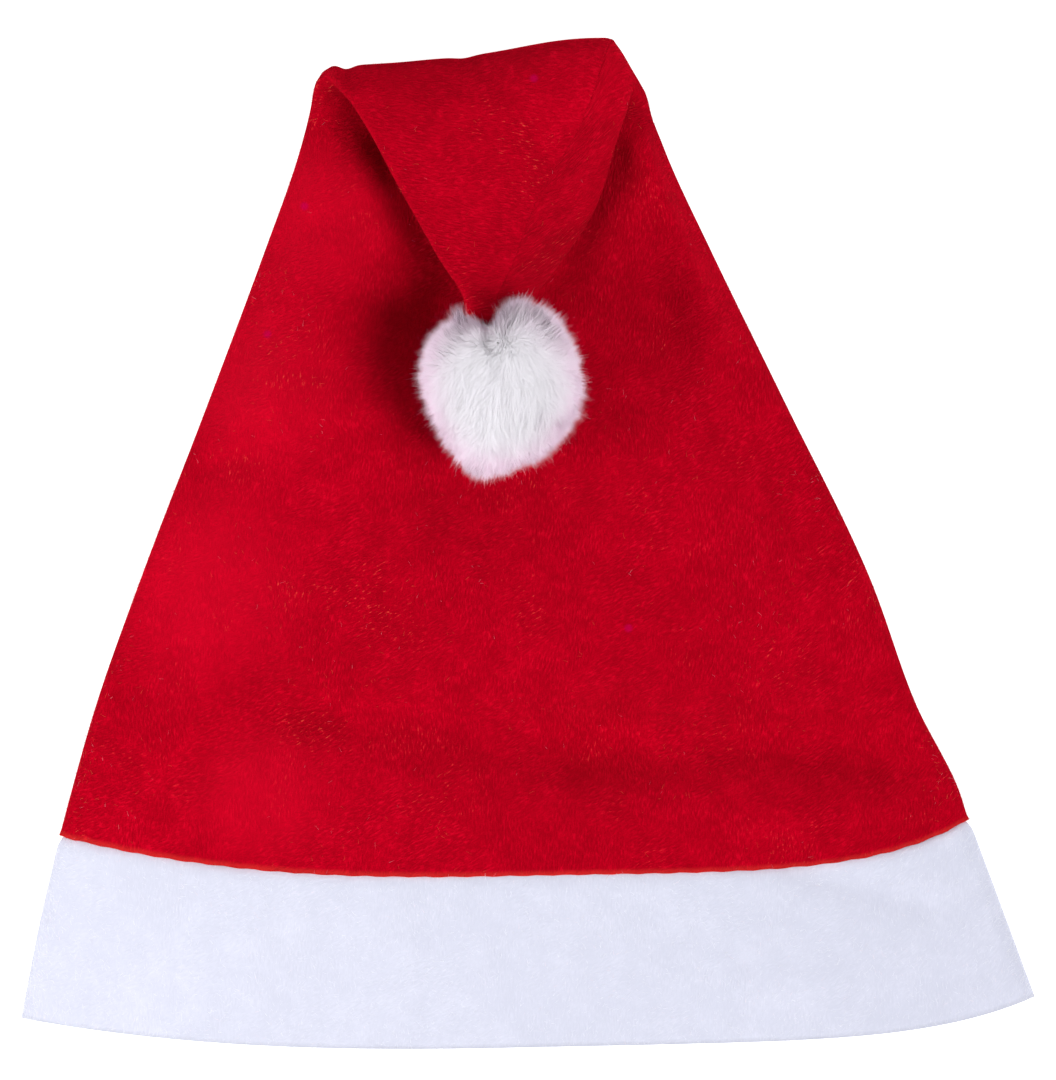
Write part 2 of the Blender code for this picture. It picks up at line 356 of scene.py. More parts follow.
    def row(self, numbers: np.ndarray, side: Side) -> np.ndarray:
        """Gives one panel's row of places, from its left seam to its right seam.

        Args:
            numbers: The section's numbers.
            side: The front or the back panel.

        Returns:
            The row's places, two more than the columns.
        """
        width = float(np.linalg.norm(numbers[3:6] - numbers[0:3]))
        turn_in = min(EDGE_REACH / width, self.widest_turn_in)
        ends = turn_in * (1 - np.cos(math.pi / 2 * np.arange(self.end_steps) / self.end_steps))
        middle = np.linspace(turn_in, 1 - turn_in, self.middle_steps + 1)
        shares = np.concatenate([ends, middle, 1 - ends[::-1]])
        front = self.side_line(numbers, shares, Side.FRONT)
        back = self.side_line(numbers, shares[::-1], Side.BACK)
        loop = np.concatenate([front, back, front[:1]])
        plain = np.concatenate([self.side_line(numbers, shares, Side.FRONT, folded=False), back])
        ways = unit(np.roll(plain, -1, axis=0) - plain)
        bends = np.arccos(np.clip(np.sum(ways * np.roll(ways, 1, axis=0), axis=1), -1.0, 1.0))
        twice_bends = np.concatenate([bends, bends, bends[:1]])
        marks = np.concatenate([[0.0], np.cumsum(np.linalg.norm(np.diff(loop, axis=0), axis=1))])
        total = marks[-1]
        twice = np.concatenate([loop[:-1], loop])
        twice_marks = np.concatenate([marks[:-1] - total, marks])
        right_seam = marks[len(front) - 1] + EDGE_UPRIGHT + numbers[SLIDE]
        left_seam = -EDGE_UPRIGHT
        if side is Side.FRONT:
            return self.between(twice, twice_marks, twice_bends, left_seam, right_seam)
        return self.between(twice, twice_marks, twice_bends, right_seam - total, left_seam)[::-1]

    def between(self, line: np.ndarray, marks: np.ndarray, bends: np.ndarray, start: float,
                end: float) -> np.ndarray:
        """Gives evenly spaced places on a line between two seams, closer where it turns.

        Args:
            line: The loop's places, twice round.
            marks: The distance along the line at each place.
            bends: How sharply the unfolded loop turns at each place.
            start: The first seam's distance.
            end: The last seam's distance.

        Returns:
            The places, with a short straight of cloth at each seam.
        """
        reach = SEAM_GAP / 2 + SEAM_STUB
        wanted = np.array([start - reach, start + reach, end - reach, end + reach])
        stubs = np.stack([np.interp(wanted, marks, line[:, axis]) for axis in range(3)], axis=1)
        kept = (marks > start + reach) & (marks < end - reach)
        inner = line[kept]
        course = np.concatenate([stubs[1:2], inner, stubs[2:3]])
        steps = np.diff(course, axis=0)
        lengths = np.linalg.norm(steps, axis=1)
        turns = np.concatenate([[0.0], bends[kept]]) / math.pi
        weights = lengths / lengths.sum() + self.turn_weight * turns
        places = np.concatenate([[0.0], np.cumsum(weights)])
        spread = np.linspace(0.0, places[-1], self.columns + 1)
        row = np.stack([np.interp(spread, places, course[:, axis]) for axis in range(3)], axis=1)
        first = (stubs[0] + stubs[1]) / 2 + unit(stubs[1] - stubs[0]) * SEAM_GAP / 2
        last = (stubs[2] + stubs[3]) / 2 - unit(stubs[3] - stubs[2]) * SEAM_GAP / 2
        return np.concatenate([[first], row, [last]])

    def surface(self, side: Side) -> Surface:
        """Gives a whole panel's outer face.

        Args:
            side: The front or the back panel.

        Returns:
            The face, with cloth coordinates measured across and along it.
        """
        places = np.stack([self.row(numbers, side) for numbers in self.stations()])
        middle = places[:, places.shape[1] // 2]
        along = np.concatenate([[0.0], np.cumsum(np.linalg.norm(np.diff(middle, axis=0), axis=1))])
        steps = np.linalg.norm(np.diff(places, axis=1), axis=2)
        across = np.concatenate([np.zeros((len(places), 1)), np.cumsum(steps, axis=1)], axis=1)
        across -= across[:, -1:] / 2
        cloth = np.stack([across, np.broadcast_to(along[:, None], across.shape)], axis=2)
        return Surface(places, cloth)


# Finishes

SHEEN_ROUGHNESS = 0.6
WHITE = (1.0, 1.0, 1.0)


@dataclass
class Wiring:
    """Adds nodes to one material and joins them."""

    name: str

    def __post_init__(self) -> None:
        """Starts the material with its shader."""
        self.material = bpy.data.materials.new(self.name)
        self.material.use_nodes = True
        self.tree = self.material.node_tree
        self.shader = self.tree.nodes["Principled BSDF"]

    def add(self, kind: str, links: dict[str, bpy.types.NodeSocket] | None = None,
            **values: object) -> bpy.types.Node:
        """Adds a node.

        Args:
            kind: The node's type.
            links: Sockets to join to the node's inputs, by the input's name.
            **values: Settings of the node, or values of its inputs, with _ for a space.

        Returns:
            The new node.
        """
        node = self.tree.nodes.new(kind)
        for key, value in values.items():
            if hasattr(node, key):
                setattr(node, key, value)
            else:
                node.inputs[key.replace("_", " ")].default_value = value
        for key, source in (links or {}).items():
            self.tree.links.new(source, node.inputs[key])
        return node

    def pattern(self, where: bpy.types.NodeSocket, scale: Place, detail: float, turn: float = 0.0,
                roughness: float = 0.55) -> bpy.types.NodeSocket:
        """Adds a noise stretched and turned on the cloth.

        Args:
            where: The coordinates it reads.
            scale: How many swells there are in a metre, each way.
            detail: How much finer noise is laid over it.
            turn: Its turn on the cloth, in degrees.
            roughness: How strong the finer noise is.

        Returns:
            The noise's value, from 0 to 1.
        """
        spin = (0.0, 0.0, math.radians(turn))
        turned = self.add("ShaderNodeMapping", {"Vector": where}, Rotation=spin).outputs[0]
        laid = self.add("ShaderNodeMapping", {"Vector": turned}, Scale=scale).outputs[0]
        made = self.add("ShaderNodeTexNoise", {"Vector": laid}, Scale=1.0, Detail=detail, Roughness=roughness)
        return made.outputs[0]

    def between(self, value: bpy.types.NodeSocket, low: float, high: float, to_low: float = 0.0,
                to_high: float = 1.0) -> bpy.types.NodeSocket:
        """Stretches a value's range and cuts it off at both ends.

        Args:
            value: The value.
            low: What becomes to_low.
            high: What becomes to_high.
            to_low: The new lowest value.
            to_high: The new highest value.

        Returns:
            The stretched value.
        """
        made = self.add("ShaderNodeMapRange", {"Value": value}, interpolation_type="SMOOTHSTEP")
        limits = {"From Min": low, "From Max": high, "To Min": to_low, "To Max": to_high}
        for socket, number in limits.items():
            made.inputs[socket].default_value = number
        return made.outputs[0]

    def blend(self, share: bpy.types.NodeSocket, low: object, high: object) -> bpy.types.NodeSocket:
        """Mixes two colours.

        Args:
            share: How much of the second one there is.
            low: The first colour, or the socket that gives it.
            high: The second colour, or the socket that gives it.

        Returns:
            The mixed colour.
        """
        made = self.add("ShaderNodeMix", {"Factor": share}, data_type="RGBA")
        for socket, colour in ((made.inputs["A"], low), (made.inputs["B"], high)):
            self.give(made, socket.name, colour)
        return [output for output in made.outputs if output.type == "RGBA"][0]

    def give(self, node: bpy.types.Node, name: str, colour: object) -> None:
        """Sets or joins the colour input of that name.

        Args:
            node: The node.
            name: The input's name.
            colour: A colour, or the socket that gives it.
        """
        socket = [found for found in node.inputs if found.name == name and found.type == "RGBA"][0]
        if isinstance(colour, bpy.types.NodeSocket):
            self.tree.links.new(colour, socket)
        else:
            socket.default_value = (*colour, 1.0)

    def sums(self, kind: str, first: object, second: object) -> bpy.types.NodeSocket:
        """Adds a piece of arithmetic.

        Args:
            kind: The operation.
            first: The first number or socket.
            second: The second number or socket.

        Returns:
            The result.
        """
        made = self.add("ShaderNodeMath", operation=kind)
        for socket, value in zip(made.inputs, (first, second)):
            if isinstance(value, bpy.types.NodeSocket):
                self.tree.links.new(value, socket)
            else:
                socket.default_value = value
        return made.outputs[0]

    def distance_from(self, spot: Spot) -> bpy.types.NodeSocket:
        """Gives how far the surface is from a spot, seen from above.

        Args:
            spot: The spot's X and Y.

        Returns:
            The distance in metres.
        """
        solid = self.add("ShaderNodeTexCoord").outputs["Object"]
        level = self.add("ShaderNodeVectorMath", {"Vector": solid}, operation="MULTIPLY")
        level.inputs[1].default_value = (1.0, 1.0, 0.0)
        away = self.add("ShaderNodeVectorMath", {"Vector": level.outputs[0]}, operation="DISTANCE")
        away.inputs[1].default_value = (*spot, 0.0)
        return away.outputs["Value"]

    def relief(self, height: bpy.types.NodeSocket, depth: float, strength: float) -> None:
        """Roughens the shader's surface with a height, whose full range is depth metres."""
        made = self.add("ShaderNodeBump", {"Height": height}, Distance=depth, Strength=strength)
        self.tree.links.new(made.outputs[0], self.shader.inputs["Normal"])

    def settle(self, colour: bpy.types.NodeSocket, roughness: float, sheen: float, sheen_tint: Colour,
               gloss: float) -> bpy.types.Material:
        """Joins the colour to the shader and sets its even values.

        Args:
            colour: The base colour.
            roughness: The shader's roughness.
            sheen: How much fuzz catches the light at a slant.
            sheen_tint: The fuzz's colour.
            gloss: The shader's specular level.

        Returns:
            The finished material.
        """
        self.tree.links.new(colour, self.shader.inputs["Base Color"])
        self.shader.inputs["Roughness"].default_value = roughness
        self.shader.inputs["Sheen Weight"].default_value = sheen
        self.shader.inputs["Sheen Roughness"].default_value = SHEEN_ROUGHNESS
        self.shader.inputs["Sheen Tint"].default_value = (*sheen_tint, 1.0)
        self.shader.inputs["Specular IOR Level"].default_value = gloss
        return self.material


@dataclass(frozen=True)
class FeltFinish:
    """Needle felt: brushed fibres, soft blotches, stray lint, painted highlight patches, and painted sheen on
    a paler rolled seam edge.
    """

    name: str
    deep: Colour
    middle: Colour
    pale: Colour
    # painted sheen colour of the rolled seam edges
    edge: Colour
    lint: Colour
    lint_share: float
    sheen: float
    sheen_tint: Colour
    relief_depth: float
    streaks: float = 0.5
    blotch_share: float = 0.6
    swell_share: float = 0.35
    nap: tuple[float, float] = (8.0, 62.0)
    nap_scales: tuple[Place, Place] = ((1900.0, 420.0, 1.0), (1800.0, 460.0, 1.0))
    nap_change_scale: Place = (38.0, 38.0, 1.0)
    swell_scale: Place = (22.0, 22.0, 1.0)
    blotch_scale: Place = (130.0, 130.0, 1.0)
    lint_scale: Place = (34.0, 34.0, 1.0)
    to_middle: tuple[float, float] = (0.45, 0.98)
    to_pale: tuple[float, float] = (0.80, 1.15)
    # painted highlight patches: x, y and radius of each, and how far they blend to the pale colour
    painted_highlights: tuple[Place, ...] = ()
    painted_highlight_share: float = 0.45
    stains: tuple[Spot, ...] = ()
    stain: Colour = (0.5, 0.0, 0.06)
    stain_radius: float = 0.0016
    stain_share: float = 0.7
    roughness: float = 0.95

    def material(self) -> bpy.types.Material:
        """Returns the felt's material."""
        wiring = Wiring(self.name)
        where = wiring.add("ShaderNodeUVMap", uv_map=CLOTH_UV).outputs[0]
        fibres = self.nap_fibres(wiring, where)
        strands = wiring.between(fibres, 0.3, 0.7)
        streaks = wiring.sums("MULTIPLY", strands, self.streaks)
        blotches = wiring.pattern(where, self.blotch_scale, 4.0, roughness=0.6)
        swells = wiring.pattern(where, self.swell_scale, 2.0)
        tone = wiring.sums("ADD", streaks, wiring.sums("MULTIPLY", blotches, self.blotch_share))
        tone = wiring.sums("ADD", tone, wiring.sums("MULTIPLY", swells, self.swell_share))
        colour = wiring.blend(wiring.between(tone, *self.to_middle), self.deep, self.middle)
        colour = wiring.blend(wiring.between(tone, *self.to_pale), colour, self.pale)
        colour = self.marked(wiring, where, fibres, colour)
        # Painted sheen: the rolled seam edges turn paler, where the felt catches light at a slant.
        rolled = wiring.add("ShaderNodeAttribute", attribute_name=EDGE_MARK).outputs["Fac"]
        colour = wiring.blend(wiring.between(rolled, 0.1, 1.0), colour, self.edge)
        wiring.relief(wiring.sums("ADD", streaks, blotches), self.relief_depth, 1.0)
        return wiring.settle(colour, self.roughness, self.sheen, self.sheen_tint, 0.0)

    def nap_fibres(self, wiring: Wiring, where: bpy.types.NodeSocket) -> bpy.types.NodeSocket:
        """Lays the brushed fibres one way here and another way there.

        Args:
            wiring: The felt's nodes.
            where: The cloth's coordinates.

        Returns:
            The fibres' value, from 0 to 1.
        """
        choice = wiring.between(wiring.pattern(where, self.nap_change_scale, 2.0), 0.42, 0.58)
        mixed = wiring.add("ShaderNodeMix", {"Factor": choice}, data_type="FLOAT")
        for socket, scale, turn in zip(("A", "B"), self.nap_scales, self.nap):
            lay = wiring.pattern(where, scale, 3.0, turn=turn, roughness=0.7)
            wiring.tree.links.new(lay, mixed.inputs[socket])
        return mixed.outputs[0]

    def marked(self, wiring: Wiring, where: bpy.types.NodeSocket, fibres: bpy.types.NodeSocket,
               colour: bpy.types.NodeSocket) -> bpy.types.NodeSocket:
        """Lays the painted highlight patches, the lint and the small stains over the felt's colour.

        Args:
            wiring: The felt's nodes.
            where: The cloth's coordinates.
            fibres: The fibres' value.
            colour: The colour so far.

        Returns:
            The colour with its marks.
        """
        # Painted highlight: paler patches where the felt is lit brighter.
        for x, y, radius in self.painted_highlights:
            away = wiring.distance_from((x, y))
            reach = wiring.between(away, radius * 1.5, radius * 0.3, 0.0, self.painted_highlight_share)
            colour = wiring.blend(reach, colour, self.pale)
        threads = wiring.between(fibres, 0.60, 0.68)
        patches = wiring.between(wiring.pattern(where, self.lint_scale, 1.0, turn=30.0), 0.54, 0.66)
        specks = wiring.sums("MULTIPLY", threads, patches)
        colour = wiring.blend(wiring.sums("MULTIPLY", specks, self.lint_share), colour, self.lint)
        for stain in self.stains:
            reach = wiring.between(wiring.distance_from(stain), self.stain_radius, self.stain_radius * 0.3)
            colour = wiring.blend(wiring.sums("MULTIPLY", reach, self.stain_share), colour, self.stain)
        return colour


@dataclass(frozen=True)
class FibreFinish:
    """Loose fibres and fur strands, each with one tint; the fur's lilac is painted red reflected light."""

    name: str
    roughness: float
    sheen: float
    shade: Colour

    def material(self) -> bpy.types.Material:
        """Returns the fibres' material."""
        wiring = Wiring(self.name)
        tint = wiring.add("ShaderNodeAttribute", attribute_name=TINT_MARK).outputs["Color"]
        solid = wiring.add("ShaderNodeTexCoord").outputs["Object"]
        uneven = wiring.between(wiring.pattern(solid, (900.0, 900.0, 900.0), 2.0), 0.3, 0.7, 0.0, 0.12)
        colour = wiring.blend(uneven, tint, self.shade)
        return wiring.settle(colour, self.roughness, self.sheen, WHITE, 0.0)


@dataclass(frozen=True)
class CoreFinish:
    """The backing under the fur: soft white with shaded hollows between the tufts."""

    name: str
    light: Colour
    shade: Colour

    def material(self) -> bpy.types.Material:
        """Returns the backing's material."""
        wiring = Wiring(self.name)
        solid = wiring.add("ShaderNodeTexCoord").outputs["Object"]
        tufts = wiring.pattern(solid, (420.0, 420.0, 420.0), 4.0, roughness=0.65)
        colour = wiring.blend(wiring.between(tufts, 0.35, 0.65), self.shade, self.light)
        wiring.relief(tufts, 0.0012, 0.8)
        return wiring.settle(colour, 0.95, 0.1, WHITE, 0.1)


@dataclass(frozen=True)
class PaleFinish:
    """The floor: a plain pale surface that gives off a little light, as a light table does."""

    name: str = "pale_floor"
    colour: Colour = (0.45, 0.45, 0.45)
    glow: float = 0.95

    def material(self) -> bpy.types.Material:
        """Returns the floor's material."""
        wiring = Wiring(self.name)
        solid = wiring.add("ShaderNodeTexCoord").outputs["Object"]
        uneven = wiring.between(wiring.pattern(solid, (3.0, 3.0, 3.0), 2.0), 0.2, 0.8)
        colour = wiring.blend(uneven, self.colour, tuple(0.99 * part for part in self.colour))
        wiring.shader.inputs["Emission Color"].default_value = (*WHITE, 1.0)
        wiring.shader.inputs["Emission Strength"].default_value = self.glow
        return wiring.settle(colour, 0.9, 0.0, WHITE, 0.0)


# Making meshes

CORNERS_OF_BLADE = 5
MIDDLE_OF_BLADE = 0.7


def stand(mesh: bpy.types.Mesh) -> bpy.types.Object:
    """Returns an object for the mesh, under the mesh's name, in the scene."""
    made = bpy.data.objects.new(mesh.name, mesh)
    bpy.context.scene.collection.objects.link(made)
    return made


def bend_to(mesh: bpy.types.Mesh, places: np.ndarray) -> None:
    """Moves the mesh's vertices to the places, in their order."""
    mesh.vertices.foreach_set("co", places.astype(np.float32).ravel())


def starting_places(mesh: bpy.types.Mesh) -> np.ndarray:
    """Returns where the mesh's vertices are."""
    flat = np.empty(len(mesh.vertices) * 3)
    mesh.vertices.foreach_get("co", flat)
    return flat.reshape(-1, 3)


def grid_piece(name: str, surface: Surface, edge: np.ndarray, side: Side,
               finish: bpy.types.Material) -> bpy.types.Object:
    """Bends a flat grid to a surface.

    Args:
        name: The piece's name.
        surface: The places and cloth coordinates, row by row.
        edge: How much of the rolled edge's painted sheen colour each place has.
        side: The front or the back panel, which faces down.
        finish: The piece's material.

    Returns:
        The piece, an open sheet.
    """
    tall, wide = surface.places.shape[:2]
    sheet = bmesh.new()
    bmesh.ops.create_grid(sheet, x_segments=wide - 1, y_segments=tall - 1, size=1.0)
    mesh = bpy.data.meshes.new(name)
    sheet.to_mesh(mesh)
    sheet.free()
    flat = starting_places(mesh)
    column = np.rint((flat[:, 0] + 1) / 2 * (wide - 1)).astype(int)
    row = np.rint((flat[:, 1] + 1) / 2 * (tall - 1)).astype(int)
    bend_to(mesh, surface.places[row, column])
    corner = np.empty(len(mesh.loops), dtype=int)
    mesh.loops.foreach_get("vertex_index", corner)
    layer = mesh.uv_layers.new(name=CLOTH_UV)
    layer.data.foreach_set("uv", surface.cloth[row, column][corner].ravel())
    mark = mesh.attributes.new(EDGE_MARK, "FLOAT", "POINT")
    mark.data.foreach_set("value", edge[row, column].astype(np.float32))
    if side is Side.BACK:
        mesh.flip_normals()
    mesh.shade_smooth()
    mesh.materials.append(finish)
    return stand(mesh)


def blades(name: str, spines: np.ndarray, widths: np.ndarray, facing: np.ndarray, tints: np.ndarray,
           finish: bpy.types.Material, lit_from: np.ndarray | None = None) -> bpy.types.Object:
    """Makes many thin tapered blades from one blade that is doubled again and again.

    Args:
        name: The piece's name.
        spines: Three places along each blade, from its root to its tip.
        widths: Each blade's width at its root.
        facing: The direction across each blade.
        tints: Each blade's colour.
        finish: The piece's material.
        lit_from: The way that each blade's surface is taken to face, as soft fur does.

    Returns:
        The piece.
    """
    seed = bmesh.new()
    corners = [seed.verts.new((float(i), 0.0, 0.0)) for i in range(CORNERS_OF_BLADE)]
    seed.faces.new([corners[0], corners[1], corners[3], corners[2]])
    seed.faces.new([corners[2], corners[3], corners[4]])
    count = 1
    while count < len(spines):
        bmesh.ops.duplicate(seed, geom=[*seed.verts, *seed.edges, *seed.faces])
        count *= 2
    seed.verts.ensure_lookup_table()
    spare = seed.verts[len(spines) * CORNERS_OF_BLADE:]
    bmesh.ops.delete(seed, geom=spare, context="VERTS")
    mesh = bpy.data.meshes.new(name)
    seed.to_mesh(mesh)
    seed.free()
    root, middle, tip = spines[:, 0], spines[:, 1], spines[:, 2]
    half = facing * widths[:, None] / 2
    slim = half * MIDDLE_OF_BLADE
    bend_to(mesh, np.stack([root - half, root + half, middle - slim, middle + slim, tip], axis=1))
    colours = np.concatenate([tints, np.ones((len(tints), 1))], axis=1)
    mark = mesh.attributes.new(TINT_MARK, "FLOAT_COLOR", "POINT")
    mark.data.foreach_set("color", np.repeat(colours, CORNERS_OF_BLADE, axis=0).astype(np.float32).ravel())
    mesh.shade_smooth()
    mesh.materials.append(finish)
    mesh.update()
    if lit_from is not None:
        mesh.normals_split_custom_set_from_vertices(np.repeat(lit_from, CORNERS_OF_BLADE, axis=0).tolist())
    return stand(mesh)


# Sub-assemblies

@dataclass
class FeltPanel:
    """One felt panel: a sheet bent to its rows, with its seams rolled in, then its thickness.

    The rolls are how far the felt dips at the side seams, at its lower edge and at its upper
    edge, and the lower roll is scalloped by the stitches under it. swell and ripple are its
    wide and its narrow unevenness. nicks dent the line of the fold at the top. The rolled
    lower edge and, fainter, the side edges get painted sheen, a paler colour where they catch
    the light at a slant.
    """

    name: str
    loops: Loops
    side: Side
    flat: tuple[float, float]
    area: float
    held: Held
    rests_on: tuple[str, ...]
    slot: Slot
    seed: float
    seam_roll: float = -0.00035
    seam_reach: float = 0.0009
    lower_roll: float = 0.0
    upper_roll: float = 0.0
    scallop_pitch: float = 0.0082
    scallop_depth: float = 0.00025
    scallop_reach: float = 0.004
    swell: float = 0.00028
    swell_spacing: float = 0.024
    ripple: float = 0.00005
    ripple_spacing: float = 0.0065
    nicks: tuple[Nick, ...] = ()
    nick_from: float = 0.1255
    nick_to: float = 0.1315
    calm_edge: float = 0.006
    seam_line: float = 0.0007
    side_line: float = 0.0009
    side_sheen: float = 0.16

    def shape(self) -> tuple[Surface, np.ndarray]:
        """Returns the panel's outer face, and how much of the rolled edge each place has."""
        surface = self.loops.surface(self.side)
        off = surface.normals() * self.side.value
        across, along = surface.cloth[..., 0], surface.cloth[..., 1]
        to_side = across.max(axis=1, keepdims=True) - np.abs(across)
        to_lower, to_upper = along, along[-1:] - along
        relief = self.swell * wander(surface.cloth, self.swell_spacing, self.seed)
        relief += self.ripple * wander(surface.cloth, self.ripple_spacing, self.seed + 9.0)
        relief *= smoothstep(0.0, self.calm_edge, to_side)
        relief -= self.seam_roll * np.exp(-((to_side / self.seam_reach) ** 2))
        wave = 1 + 0.5 * np.sin(2 * math.pi * across / self.scallop_pitch)
        relief -= self.lower_roll * wave * np.exp(-((to_lower / self.seam_reach) ** 2))
        relief -= self.upper_roll * np.exp(-((to_upper / self.seam_reach) ** 2))
        places = surface.places + off * relief[..., None]
        near_top = smoothstep(self.nick_from, self.nick_to, places[..., 1])
        for nick in self.nicks:
            dip = nick.depth * np.exp(-(((places[..., 0] - nick.x) / nick.half_width) ** 2))
            places[..., 1] -= dip * near_top
        if self.lower_roll:
            places[..., 1] -= self.scallop_depth * (wave - 1) * np.exp(-to_lower / self.scallop_reach)
        places[..., 2] = np.maximum(places[..., 2], 0.0)
        # Painted sheen: full at the rolled lower edge, fainter along the side edges.
        rolled = np.exp(-((to_lower / self.seam_line) ** 2)) * bool(self.lower_roll)
        rolled = np.maximum(rolled, self.side_sheen * np.exp(-((to_side / self.side_line) ** 2)))
        return Surface(places, surface.cloth), rolled

    def build(self, finish: bpy.types.Material) -> Surface:
        """Args:
            finish: The felt's material.

        Returns:
            The panel's outer face.
        """
        surface, rolled = self.shape()
        made = grid_piece(f"{self.name}_felt", surface, rolled, self.side, finish)
        wall = made.modifiers.new("felt_thickness", "SOLIDIFY")
        wall.thickness = FELT_THICKNESS
        wall.offset = -1.0
        wall.use_even_offset = False
        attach(made, "root")
        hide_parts(self.name)
        log.info("%s: %d rows of %d", made.name, *surface.places.shape[:2])
        return surface


@dataclass
class Crown:
    """The red cone of felt, with its tip folded forward over the front panel."""

    flat: tuple[float, float] = (0.272, 0.345)
    area: float = 0.0505
    row_step: float = 0.0021
    columns: int = 150
    lip: float = -0.0002
    nicks: tuple[Nick, ...] = (
        Nick(-0.0520, 0.0025, 0.0012),
        Nick(-0.0185, 0.0035, 0.0006),
        Nick(-0.0110, 0.0190, 0.0016),
    )
    folds: tuple[Fold, ...] = (
        Fold((-0.056, 0.104), (-0.072, 0.040), 0.012, 0.0042),
        Fold((-0.072, 0.040), (-0.090, -0.040), 0.015, 0.0045),
        Fold((-0.020, 0.020), (0.000, -0.050), 0.042, -0.0030),
        Fold((-0.106, -0.069), (-0.075, -0.043), 0.010, -0.0042),
        Fold((-0.086, -0.076), (-0.064, -0.058), 0.009, 0.0026),
        Fold((-0.060, -0.047), (0.020, -0.057), 0.0130, -0.0062),
        Fold((0.020, -0.057), (0.110, -0.058), 0.0105, -0.0085),
        Fold((0.034, 0.062), (0.074, 0.006), 0.016, -0.0020),
        Fold((-0.073, 0.086), (-0.050, 0.094), 0.005, -0.0015),
        Fold((-0.094, 0.022), (-0.060, 0.034), 0.006, -0.0020),
        Fold((-0.010, 0.050), (-0.005, 0.036), 0.024, -0.0045),
        Fold((-0.0320, 0.1180), (-0.0220, 0.0700), 0.0180, -0.0048),
        Fold((-0.0220, 0.0700), (-0.0240, 0.0250), 0.0190, -0.0040),
        Fold((0.0375, 0.1150), (0.0530, 0.0600), 0.0085, 0.0052),
        Fold((0.0210, 0.1080), (0.0065, 0.0780), 0.0090, -0.0066),
        Fold((-0.0800, 0.0340), (-0.0715, 0.0310), 0.0026, -0.0009),
        Fold((-0.0700, -0.0480), (-0.0460, -0.0440), 0.0040, -0.0008),
        Fold((0.1035, -0.0460), (0.1030, -0.0690), 0.0035, -0.0008),
        Fold((0.0780, -0.0940), (0.1150, -0.1040), 0.0045, -0.0012),
    )

    def sections(self) -> tuple[Section, ...]:
        """Returns the crown's loops from the seam with the band to the tip."""
        rise = EDGE_RISE
        return (
            Section((-0.1340, -0.0842, rise), (0.1260, -0.0795, rise), sag=0.0135, front=0.0150),
            Section((-0.1312, -0.0735, rise), (0.1232, -0.0709, rise), sag=0.0125, front=0.0150),
            Section((-0.1235, -0.0465, rise), (0.1110, -0.0465, rise), sag=0.0100, front=0.0150),
            Section((-0.1108, -0.0106, rise), (0.0979, -0.0106, rise), sag=0.0070, front=0.0165),
            Section((-0.0910, 0.0411, rise), (0.0729, 0.0411, rise), sag=0.0040, front=0.0155),
            Section((-0.0750, 0.0840, rise), (0.0520, 0.0840, rise), sag=0.0010, front=0.0110),
            Section((-0.0655, 0.1110, rise), (0.0395, 0.1110, rise), front=0.0078),
            Section((-0.0622, 0.1235, 0.0040), (0.0357, 0.1215, 0.0038), turn=15,
                    front=0.0045, slide=0.003),
            Section((-0.0606, 0.1313, 0.0078), (0.0337, 0.1283, 0.0065), turn=50,
                    front=0.0036, back=0.0072, crest=0.86, slide=0.0100, rim=0.0031),
            Section((-0.0575, 0.1340, 0.0130), (0.0308, 0.1312, 0.0100), turn=90,
                    front=0.0030, back=0.0132, crest=0.90, slide=0.0145, rim=0.0027),
            Section((-0.0535, 0.1300, 0.0205), (0.0283, 0.1235, 0.0118), turn=155,
                    front=0.0022, back=0.0115, crest=0.82, slide=0.0155, rim=0.0021),
            Section((-0.0475, 0.1215, 0.0228), (0.0255, 0.1150, 0.0112), turn=180,
                    front=0.0020, back=0.0105, crest=0.72, slide=0.0168, rim=0.0019),
            Section((-0.0363, 0.1010, 0.0236), (0.0195, 0.0960, 0.0116), turn=180,
                    front=0.0019, back=0.0100, crest=0.62, slide=0.0225, rim=0.0019),
            Section((-0.0248, 0.0805, 0.0262), (0.0085, 0.0785, 0.0172), turn=175,
                    front=0.0020, back=0.0070, crest=0.58, slide=0.0172, rim=0.0020),
            Section((-0.0180, 0.0690, 0.0300), (-0.0005, 0.0675, 0.0268), turn=165,
                    front=0.0028, back=0.0045, slide=0.0110, rim=0.0028),
            Section((-0.0170, 0.0610, 0.0340), (-0.0040, 0.0610, 0.0336), turn=160, slide=0.0068),
        )

    def build(self, front_finish: bpy.types.Material,
              back_finish: bpy.types.Material) -> dict[Side, Surface]:
        """Makes both panels.

        Args:
            front_finish: The front panel's red felt.
            back_finish: The back panel's red felt, brushed another way.

        Returns:
            Their outer faces.
        """
        front = FeltPanel(
            "crown_front",
            Loops(self.sections(), self.row_step, self.columns, folds=self.folds),
            Side.FRONT,
            flat=self.flat,
            area=self.area,
            held=Held.FOLDED,
            rests_on=("crown_back",),
            slot=Slot.RED_FELT,
            seed=2.0,
            lower_roll=self.lip,
            nicks=self.nicks,
        )
        back = replace(front, name="crown_back", side=Side.BACK, rests_on=("floor",), seed=5.0)
        return {Side.FRONT: front.build(front_finish), Side.BACK: back.build(back_finish)}


